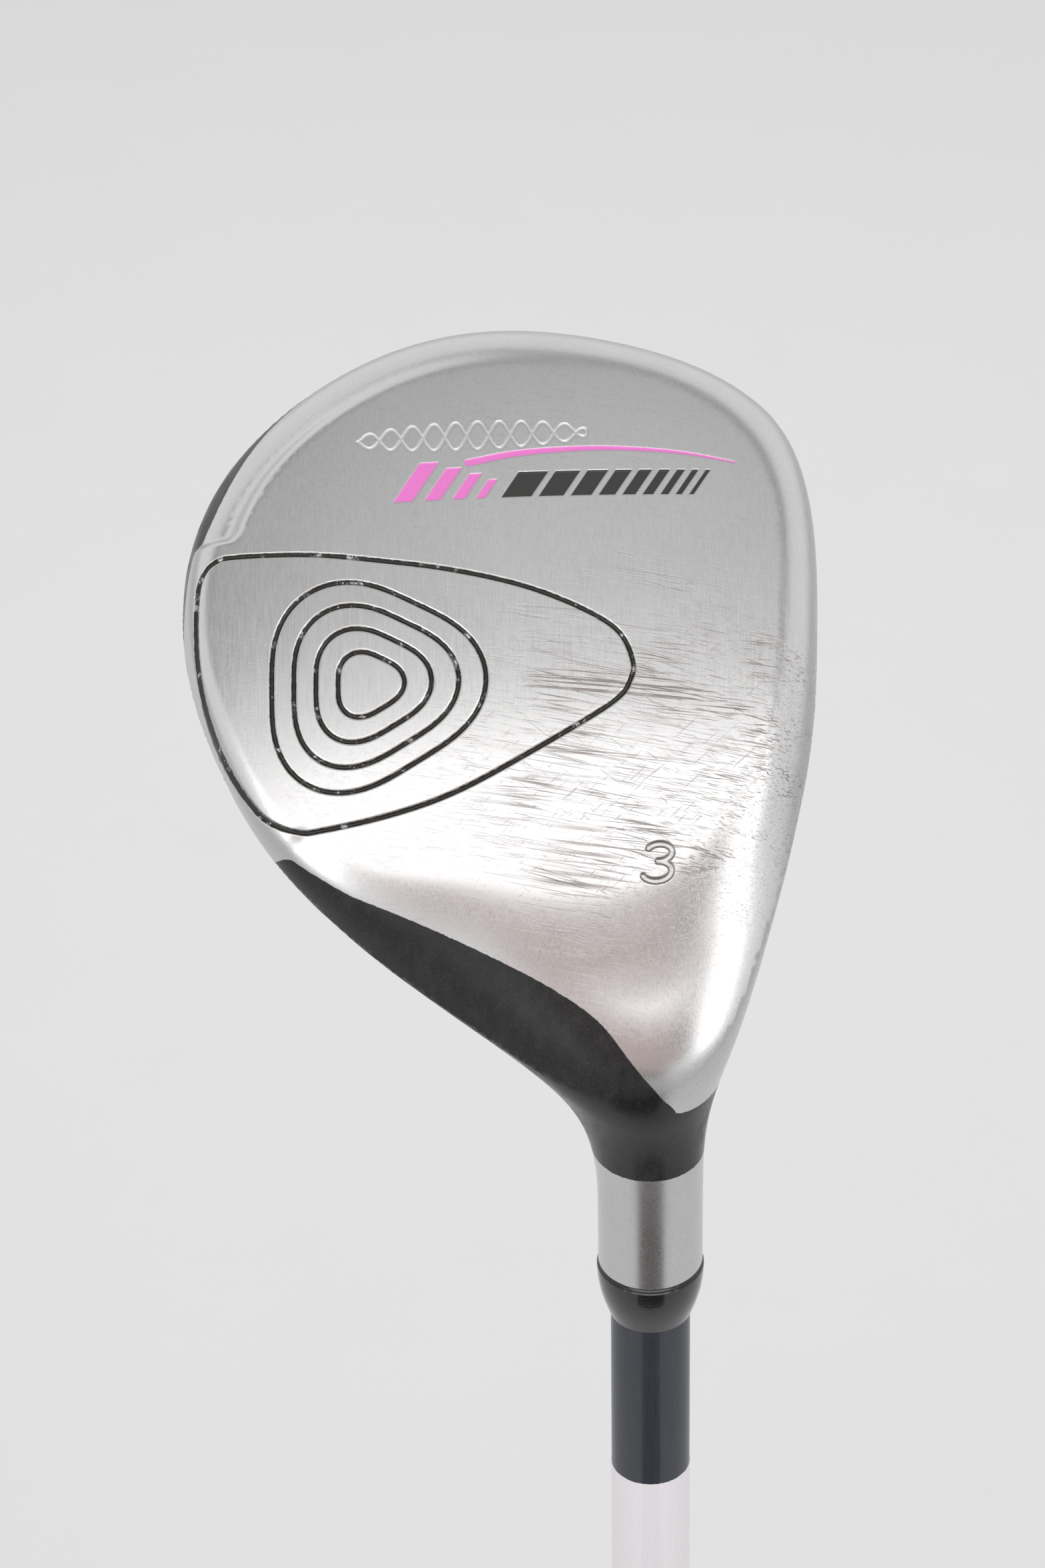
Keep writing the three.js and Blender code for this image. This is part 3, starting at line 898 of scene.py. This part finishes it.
def streaks(f, tilt, scale, low, high, seed, distortion=0.2):
    """Thin marks along the sole's width that tilt down to the face by some degrees, as a mask."""
    return f.fade(f.noise(f.stretched(tilt, scale, seed), 1.5, 0.45, distortion), low, high)


def scratch_mask(f):
    """Wear on the sole: hairlines everywhere, gouges where it has met the ground most."""
    worn = f.most(f.patch(2.0, 22.0, 30.0), f.times(f.patch(-6.0, 7.5, 13.0), 0.9))
    cloud = f.fade(f.noise(f.stretched(10, (0.08, 0.16, 0.1), 5.0), 3.0, 0.6), 0.44, 0.64)
    gouges = f.most(
        streaks(f, 11, (0.050, 3.0, 1.5), 0.63, 0.70, 11.0, 0.6),
        streaks(f, 6, (0.030, 5.0, 2.0), 0.60, 0.68, 23.0, 0.4),
        streaks(f, 17, (0.060, 4.0, 2.0), 0.64, 0.70, 31.0, 0.8),
    )
    gouges = f.times(gouges, f.times(worn, f.plus(cloud, 0.2)))
    hair = f.most(
        streaks(f, 12, (0.05, 9.0, 5.0), 0.60, 0.72, 3.0),
        streaks(f, -42, (0.12, 8.0, 5.0), 0.66, 0.76, 7.0),
        streaks(f, 38, (0.10, 9.0, 5.0), 0.68, 0.78, 13.0),
    )
    hair = f.times(hair, f.plus(f.times(worn, 0.45), 0.20))
    smudge = f.times(streaks(f, 7, (0.035, 1.6, 1.0), 0.46, 0.66, 41.0, 0.3), f.patch(-8.0, 7.6, 7.0))
    marks = f.plus(f.plus(gouges, hair), f.times(smudge, 0.8))
    return f.math("MINIMUM", marks, 1.0)


def steel_colour(f, fine, marks):
    """Bare steel, browner where it is scratched and stained near the leading edge."""
    stain = f.fade(f.noise(f.stretched(20, (0.5, 0.8, 0.5), 9.0), 3.0, 0.6), 0.60, 0.72)
    stain = f.times(stain, f.patch(9.0, 24.0, 20.0))
    base = f.mix(f.fade(fine, 0.3, 0.7), STEEL_DARK, STEEL)
    base = f.mix(0.75, base, STEEL)
    base = f.mix(f.times(stain, 0.25), base, STAIN)
    return f.mix(f.times(marks, 0.68), base, SCRATCH_BROWN)


def lacquer_colour(f, rubbed):
    flake = f.fade(f.noise(f.place((9, 9, 9)), 1.0, 0.5), 0.64, 0.76)
    return f.mix(flake, f.mix(f.times(rubbed, 0.4), BLACK_PAINT, RUBBED_PAINT), PAINT_FLAKE)


def head_finish():
    """Brushed, scratched stainless steel; black lacquer, inked grooves and pink paint where stored, and
    painted shade along the engraved numeral's walls.
    """
    f = Finish("head_steel_finish", Metallic=1.0)
    fine = f.noise(f.stretched(0, (9.0, 0.22, 6.0)), 3.0, 0.6)
    cloud = f.noise(f.stretched(0, (0.07, 0.05, 0.06)), 3.0, 0.55)
    ragged = f.noise(f.place((1.4, 1.4, 1.4)), 4.0, 0.6)
    jitter = f.times(f.minus(ragged, 0.5), 0.24)
    worn = f.fade(f.noise(f.place((0.55, 0.55, 0.55)), 5.0, 0.75), 0.57, 0.67)
    rubbed = f.fade(f.noise(f.place((0.5, 0.5, 0.25)), 5.0, 0.7), 0.40, 0.75)
    marks = scratch_mask(f)
    inked = f.fade(f.plus(f.attribute("ink"), jitter), 0.04, -0.06)
    inked = f.times(inked, f.minus(1.0, worn))
    dark = f.within("dark", 0.02, -0.06)
    pink = f.within("pink", 0.02, -0.06)
    painted = f.fade(f.plus(f.attribute("paint"), jitter), -0.05, 0.05)
    etched = f.most(f.within("numeral", 0.05, -0.1), f.within("rope", 0.05, -0.1))
    # Painted shade: a thin dark band on the sloping walls of the engraved numeral, where its groove falls
    # away.
    outline = f.times(f.within("numeral", 0.12, 0.02), f.within("numeral", -0.20, -0.08))
    base = steel_colour(f, fine, marks)
    for share, tone in (
        (f.times(etched, 0.35), ETCHED_STEEL), (f.times(outline, 0.8), NUMERAL_WALL_SHADE), (inked, GROOVE_INK),
        (dark, BAR_INK), (pink, PINK), (painted, lacquer_colour(f, rubbed)),
    ):
        base = f.mix(share, base, tone)
    covered = f.most(inked, dark, pink, painted)
    bare = f.minus(1.0, covered)
    roughness = f.plus(f.fade(fine, 0.2, 0.8, 0.22, 0.32), f.fade(cloud, 0.35, 0.7, 0.0, 0.06))
    roughness = f.plus(roughness, f.times(f.most(etched, marks), 0.2))
    paint_roughness = f.fade(rubbed, 0.0, 1.0, 0.26, 0.42)
    roughness = f.plus(f.times(roughness, bare), f.times(paint_roughness, covered))
    height = f.times(f.plus(f.times(fine, 0.2), f.times(marks, -0.8)), bare)
    f.set(Base_Color=base, Roughness=roughness, Metallic=bare, Normal=f.bump(height, 0.02))
    return f.material


def ferrule_finish():
    f = Finish("ferrule_gloss", Coat_Weight=0.5, Coat_Roughness=0.05)
    scuff = f.noise(f.place((1.2, 1.2, 6.0)), 4.0, 0.6)
    f.set(
        Base_Color=f.mix(f.fade(scuff, 0.55, 0.75), (0.008, 0.008, 0.009), (0.03, 0.03, 0.032)),
        Roughness=f.fade(scuff, 0.3, 0.75, 0.12, 0.3), Normal=f.bump(scuff, 0.01),
    )
    return f.material


SHAFT_DARK = (0.022, 0.026, 0.034)
SHAFT_PALE = (0.80, 0.765, 0.785)
SHAFT_BANDS = dict(dark_end=83.9, pink_rings=[(150.0, 1.2), (154.0, 0.6)])


def shaft_finish():
    """Clear-coated paint: a dark tip, then pale with two thin rings."""
    f = Finish("shaft_paint", Coat_Weight=0.6, Coat_Roughness=0.08)
    height = f.node("ShaderNodeSeparateXYZ", 2, None, Vector=f.place((1, 1, 1)))
    below = f.minus(CLUB_LENGTH, height)
    grain = f.noise(f.place((3, 3, 0.2)), 3.0, 0.6)
    edge = f.plus(below, f.times(f.minus(grain, 0.5), 0.25))
    pale = f.fade(edge, SHAFT_BANDS["dark_end"] - 0.06, SHAFT_BANDS["dark_end"] + 0.06)
    base = f.mix(pale, f.mix(grain, SHAFT_DARK, (0.035, 0.04, 0.05)), SHAFT_PALE)
    for start, width in SHAFT_BANDS["pink_rings"]:
        off_ring = f.math("ABSOLUTE", f.minus(below, start))
        base = f.mix(f.fade(off_ring, width / 2 + 0.05, width / 2 - 0.05), base, PINK)
    speck = f.fade(f.noise(f.place((1.5, 1.5, 1.0)), 3.0, 0.6), 0.72, 0.78)
    base = f.mix(f.times(speck, 0.3), base, (0.3, 0.3, 0.3))
    f.set(Base_Color=base, Roughness=f.fade(grain, 0.2, 0.8, 0.22, 0.34), Normal=f.bump(grain, 0.008))
    return f.material


def rubber_finish():
    f = Finish("grip_rubber_finish", Roughness=0.8)
    pores = f.noise(f.place((3.5, 3.5, 3.5)), 4.0, 0.7)
    dust = f.noise(f.place((0.05, 0.05, 0.03)), 3.0, 0.6)
    base = f.mix(f.fade(pores, 0.3, 0.75), (0.016, 0.016, 0.018), (0.035, 0.035, 0.038))
    base = f.mix(f.times(f.fade(dust, 0.5, 0.75), 0.3), base, (0.09, 0.088, 0.086))
    f.set(Base_Color=base, Roughness=f.fade(pores, 0.2, 0.8, 0.62, 0.88), Normal=f.bump(pores, 0.05))
    return f.material


def inner_finish(name, low, high, metallic, roughness):
    """A plain mottled finish for pieces that the assembly hides."""
    f = Finish(name, Metallic=metallic)
    mottle = f.noise(f.place((0.8, 0.8, 0.8)), 4.0, 0.6)
    rough = f.fade(mottle, 0.2, 0.8, roughness - 0.08, roughness + 0.08)
    f.set(Base_Color=f.mix(mottle, low, high), Roughness=rough, Normal=f.bump(mottle, 0.03))
    return f.material


# ---------------------------------------------------------------- ferrule, shaft and grip

FERRULE = dict(lip=6.42, end=4.98, bore=4.83, rise=0.25, bead=0.7, bulge=0.28, taper_bend=1.15, sides=128)
SHAFT = dict(
    front=4.78, tip=4.6, parallel=85.0, butt=7.5, bore_front=2.4, bore_butt=5.9, bore_taper=60.0, paint=0.04,
    sides=128,
)
GRIP = dict(sides=168, step=0.5, ribs=4.0, depth=0.35, mouth=8.4, butt=12.4, mouth_edge=1.0, bore_gap=0.4)
CAP = dict(vent=1.6, dish=0.8, sides=96)


def build_ferrule():
    """A trim ring with a small bead at the hosel, then a swelling taper down to the shaft."""
    bottom, hosel_end = span("ferrule")
    top = hosel_end + FERRULE["rise"]
    shoulder = top - FERRULE["bead"]
    taper = []
    for share in np.linspace(0, 1, 13):
        bulge = FERRULE["bulge"] * math.sin(math.pi * share)
        radius = FERRULE["lip"] + (FERRULE["end"] - FERRULE["lip"]) * share ** FERRULE["taper_bend"] + bulge
        taper.append((radius, shoulder - (shoulder - bottom) * share))
    bead = [(5.9, top), (6.1, top - 0.12), (6.3, top - 0.3), (6.25, top - 0.55)]
    profile = [(FERRULE["bore"], bottom), (FERRULE["bore"], top)] + bead + taper
    piece = turned("ferrule_detail", profile, FERRULE["sides"], ferrule_finish())
    smooth(piece, SHARP["turned"])
    place(piece, "ferrule")


def shaft_radius(height, top):
    """The outer radius at a height: a parallel tip, then an even taper to the butt."""
    taper_start = top - SHAFT["parallel"]
    share = np.clip((taper_start - height) / taper_start, 0, 1)
    return SHAFT["front"] + (SHAFT["butt"] - SHAFT["front"]) * share


def build_shaft():
    bottom, top = span("shaft")
    ferrule_bottom, _ = span("ferrule")
    dark_end = CLUB_LENGTH - SHAFT_BANDS["dark_end"]
    outer = [
        (SHAFT["tip"], top), (SHAFT["tip"], ferrule_bottom + 0.6), (SHAFT["front"], ferrule_bottom + 0.1),
        (shaft_radius(dark_end, top), dark_end + 0.15),
        (shaft_radius(dark_end, top) + SHAFT["paint"], dark_end),
    ]
    for height in np.linspace(dark_end - 20, bottom, 24):
        outer.append((shaft_radius(height, top) + SHAFT["paint"], height))
    outer[-1] = (SHAFT["butt"], bottom)
    inner = [(SHAFT["bore_butt"], bottom), (SHAFT["bore_front"], top - SHAFT["bore_taper"])]
    inner += [(SHAFT["bore_front"], top)]
    piece = turned("shaft_detail", outer + inner, SHAFT["sides"], shaft_finish())
    smooth(piece, SHARP["turned"])
    place(piece, "shaft")


def grip_radius(height, low, high):
    share = (height - low) / (high - low)
    swell = 0.35 * np.exp(-((share - 0.04) / 0.05) ** 2)
    return GRIP["butt"] + (GRIP["mouth"] - GRIP["butt"]) * share ** 0.85 + swell


def grip_relief(angle, height, low, high):
    """How deep the moulded pattern lies: slanting grooves in panels, with plain bands between."""
    along = (height - low) / (high - low)
    panel = np.cos(4 * angle)
    zig = np.abs(((angle * 4 / math.pi) % 2) - 1)
    chevron = np.cos(2 * math.pi * (height / GRIP["ribs"] + zig * 1.2))
    grooves = smooth_step(0.45, 0.85, chevron) * smooth_step(-0.75, -0.4, panel)
    seam = smooth_step(-0.93, -0.98, panel)
    ends = smooth_step(0.03, 0.05, along) * smooth_step(0.97, 0.94, along)
    plain = 1 - smooth_step(0.006, 0.003, np.abs((along * 6) % 1 - 0.5) / 6)
    return GRIP["depth"] * ends * np.maximum(grooves * plain, 0.6 * seam)


def build_grip():
    low, high = span("grip_sleeve")
    _, shaft_top = span("shaft")
    edge = GRIP["mouth_edge"]
    heights = np.linspace(low, high - edge, int((high - low) / GRIP["step"]))
    angle = np.arange(GRIP["sides"]) * 2 * math.pi / GRIP["sides"]
    angles, levels = np.meshgrid(angle, heights, indexing="ij")
    radii = grip_radius(levels, low, high) - grip_relief(angles, levels, low, high)
    tail = []
    for turn in (0.15 * math.pi, 0.35 * math.pi, 0.5 * math.pi):
        tail.append((GRIP["mouth"] - edge * (1 - math.cos(turn)), high - edge * (1 - math.sin(turn))))
    tail.append((shaft_radius(high, shaft_top) + SHAFT["paint"] + 0.03, high))
    for height, bore_end in ((high - edge, high - 8.0), (low, low)):
        tail.append((shaft_radius(height, shaft_top) + GRIP["bore_gap"], bore_end))
    tail_radii, tail_heights = np.tile(np.array(tail).T[:, None], (1, GRIP["sides"], 1))
    radii = np.concatenate([radii, tail_radii], 1)
    levels = np.concatenate([levels, tail_heights], 1)
    piece = revolved("grip_sleeve_detail", radii, levels, rubber_finish())
    smooth(piece, SHARP["grip"])
    place(piece, "grip_sleeve")


def build_cap():
    low, high = span("grip_cap")
    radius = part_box("grip_cap")[1].x / MM
    vent = CAP["vent"]
    dish = low + CAP["dish"]
    corners = [(vent, dish), (3.5, dish), (4.2, low), (radius - 2, low), (radius, low + 2.2),
               (radius - 0.3, high - 0.8), (radius - 1.6, high), (vent, high)]
    bends = [0.2, 0.2, 0.2, 1.2, 1.4, 0.6, 0.6, 0.2]
    profile = rounded(corners, bends)
    piece = turned("grip_cap_detail", profile, CAP["sides"], rubber_finish())
    smooth(piece, SHARP["turned"])
    place(piece, "grip_cap")


def finish_inner_pieces():
    finishes = {
        "epoxy_bond": inner_finish("cured_epoxy", (0.55, 0.50, 0.36), (0.70, 0.66, 0.52), 0.0, 0.45),
        "tip_weight_pin": inner_finish("turned_brass", (0.50, 0.38, 0.18), (0.72, 0.56, 0.30), 1.0, 0.3),
        "grip_tape": inner_finish("paper_tape", (0.66, 0.60, 0.45), (0.82, 0.76, 0.60), 0.0, 0.9),
    }
    for node, material in finishes.items():
        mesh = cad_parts[node].data
        mesh.materials.clear()
        mesh.materials.append(material)


# ---------------------------------------------------------------- studio

CAMERA = dict(pitch=37.0, roll=-0.8, distance=847.5, right=14.75, up=-15.49, lens=168.4)
FLOOR = dict(drop=0.5, width=18000.0)
# How bright the surroundings are, from straight down to straight up.
WORLD_GREYS = [(0.0, 0.90), (0.55, 0.85), (0.80, 0.40), (0.90, 0.42), (0.97, 0.66), (1.0, 0.70)]
FLOOR_LIGHT = dict(energy=4.0, place=(0.0, 1.45, 1.3))


def view_axes():
    pitch = math.radians(CAMERA["pitch"])
    roll = math.radians(CAMERA["roll"])
    forward = Vector((0, math.cos(pitch), -math.sin(pitch)))
    level_up = Vector((0, math.sin(pitch), math.cos(pitch)))
    right = math.cos(roll) * Vector((1, 0, 0)) + math.sin(roll) * level_up
    up = math.cos(roll) * level_up - math.sin(roll) * Vector((1, 0, 0))
    return forward, right, up


def build_camera():
    forward, right, up = view_axes()
    data = bpy.data.cameras.new("camera")
    data.lens = CAMERA["lens"]
    data.clip_start = 0.05
    data.clip_end = 60
    camera = add_object("camera", data)
    offset = forward * CAMERA["distance"] + right * CAMERA["right"] + up * CAMERA["up"]
    position = (Vector((0, 0, CLUB_LENGTH)) - offset) * MM
    turn = Matrix((right, up, -forward)).transposed()
    camera.matrix_world = Matrix.Translation(position) @ turn.to_4x4()
    bpy.context.scene.camera = camera


def aim(thing, azimuth, elevation, distance):
    """Puts a lamp or a card round the head, facing it. Azimuth 0 is the camera's side, 90 is +X."""
    side = math.radians(azimuth)
    rise = math.radians(elevation)
    direction = Vector((math.sin(side) * math.cos(rise), -math.cos(side) * math.cos(rise), math.sin(rise)))
    thing.location = Vector((0, 0, CLUB_LENGTH * MM)) + direction * distance
    thing.rotation_euler = direction.to_track_quat("Z", "Y").to_euler()
    thing.visible_camera = False


def soft_box(name, azimuth, elevation, distance, width, height, radiance):
    data = bpy.data.lights.new(name, "AREA")
    data.shape = "RECTANGLE"
    data.size = width
    data.size_y = height
    data.energy = radiance * math.pi * width * height
    aim(add_object(name, data), azimuth, elevation, distance)


def sheet(name, width, height, level, material):
    """A flat rectangle in millimetres."""
    corners = [(x * width / 2, y * height / 2, level) for x, y in ((-1, -1), (1, -1), (1, 1), (-1, 1))]
    return new_object(name, corners, [[0, 1, 2, 3]], material, closed=False)


def build_floor():
    f = Finish("floor_paper", Roughness=0.9, Specular_IOR_Level=0.1)
    tooth = f.noise(f.place((0.02, 0.02, 0.02)), 4.0, 0.6)
    f.set(Base_Color=f.mix(tooth, (0.80, 0.80, 0.802), (0.82, 0.82, 0.822)))
    sheet("floor", FLOOR["width"], FLOOR["width"], -FLOOR["drop"], f.material)


def build_world():
    """Pale surroundings: brightest near the horizon, greyer overhead."""
    world = bpy.data.worlds.new("studio")
    world.use_nodes = True
    bpy.context.scene.world = world
    tree = world.node_tree
    direction = tree.nodes.new("ShaderNodeTexCoord").outputs["Generated"]
    parts = tree.nodes.new("ShaderNodeSeparateXYZ")
    tree.links.new(direction, parts.inputs[0])
    ramp = tree.nodes.new("ShaderNodeValToRGB")
    ramp.color_ramp.interpolation = "EASE"
    stops = ramp.color_ramp.elements
    stops[0].position = WORLD_GREYS[0][0]
    stops[1].position = WORLD_GREYS[-1][0]
    for position, _ in WORLD_GREYS[1:-1]:
        stops.new(position)
    for stop, (_, grey) in zip(stops, WORLD_GREYS):
        stop.color = (grey, grey, grey * 1.01, 1)
    tree.links.new(parts.outputs["Z"], ramp.inputs[0])
    tree.links.new(ramp.outputs[0], tree.nodes["Background"].inputs["Color"])


def build_lights():
    soft_box("key_overhead", 0, 60, 1.6, 1.7, 0.60, 1.7)
    soft_box("side_left", -52, 25, 1.5, 0.5, 1.2, 1.8)
    soft_box("side_right", 52, 25, 1.5, 0.5, 1.2, 1.8)
    build_floor_light()


def build_floor_light():
    """Lights the floor behind the head from above, so that it falls off towards the picture's corners."""
    data = bpy.data.lights.new("floor_light", "AREA")
    data.shape = "DISK"
    data.size = 0.5
    data.energy = FLOOR_LIGHT["energy"]
    light = add_object("floor_light", data)
    light.location = FLOOR_LIGHT["place"]
    light.visible_camera = False
    light.visible_glossy = False


def flag(name, azimuth, elevation, distance, width, height, tint):
    """A dark card that only shows in reflections."""
    f = Finish(
        name, Base_Color=(0, 0, 0, 1), Roughness=1.0, Specular_IOR_Level=0.0,
        Emission_Color=(*tint, 1), Emission_Strength=1.0,
    )
    card = sheet(name, width / MM, height / MM, 0, f.material)
    aim(card, azimuth, elevation, distance)
    card.visible_diffuse = False
    card.visible_shadow = False
    card.visible_transmission = False


def build_flags():
    flag("flag_front", 2, 27, 1.9, 1.5, 1.35, (0.57, 0.46, 0.45))
    flag("flag_right", 30, 27, 1.8, 0.35, 1.1, (0.20, 0.16, 0.15))
    flag("flag_level", 4, 1, 1.9, 1.2, 0.36, (0.12, 0.10, 0.10))
    flag("flag_low", 0, -37, 1.2, 0.9, 0.9, (0.10, 0.09, 0.09))


bpy.context.scene.view_settings.view_transform = "Standard"
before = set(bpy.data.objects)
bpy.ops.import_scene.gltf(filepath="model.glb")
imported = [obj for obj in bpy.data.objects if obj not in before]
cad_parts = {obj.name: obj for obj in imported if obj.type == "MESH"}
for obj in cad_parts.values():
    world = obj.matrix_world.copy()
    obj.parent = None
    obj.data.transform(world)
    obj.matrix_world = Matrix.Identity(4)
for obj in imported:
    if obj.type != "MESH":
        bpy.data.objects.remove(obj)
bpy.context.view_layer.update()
CLUB_LENGTH = span("ferrule")[1] + HOSEL_END + SEAT_GAP
build_camera()
build_head()
build_ferrule()
build_shaft()
build_grip()
build_cap()
finish_inner_pieces()
build_floor()
build_world()
build_lights()
build_flags()
